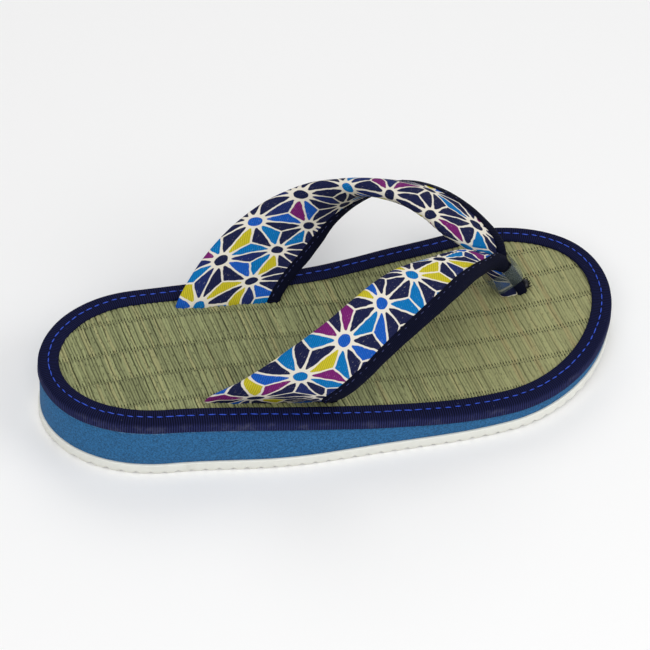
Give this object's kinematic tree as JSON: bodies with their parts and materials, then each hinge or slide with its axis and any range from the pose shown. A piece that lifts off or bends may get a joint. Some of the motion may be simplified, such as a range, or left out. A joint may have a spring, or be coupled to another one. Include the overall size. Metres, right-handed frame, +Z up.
{
  "type": "zori sandal",
  "caption": "Right-foot zori sandal: rippled white outsole, blue foam wedge, rush mat with a navy binding, and printed padded straps that join in a toe post.",
  "frame": {"origin": "on the floor under the middle of the sandal's bounding box", "axes": "+X from heel to toe, +Y towards the big toe's side, +Z up"},
  "size_m": [0.2492, 0.1126, 0.0696],
  "materials": {
    "outsole": "matt off-white foam rubber with shallow cross ripples",
    "foam": "matt mid-blue foam with fine pale and dark specks",
    "rush": "woven rush, grey-green with straw streaks, low sheen",
    "navy_tape": "ribbed navy tape with a royal blue running stitch",
    "cotton_print": "woven cotton printed with a hemp-leaf lattice in cream, navy, blues, purple and yellow-green",
    "clear_film": "thin clear glossy film"
  },
  "bodies": {
    "root": {"outsole": "outsole", "midsole": "foam", "rush_mat": "rush", "mat_binding": "navy_tape", "straps": "cotton_print", "strap_tape": "navy_tape", "film_sleeve": "clear_film", "tape_end": "navy_tape"}
  },
  "joints": []
}
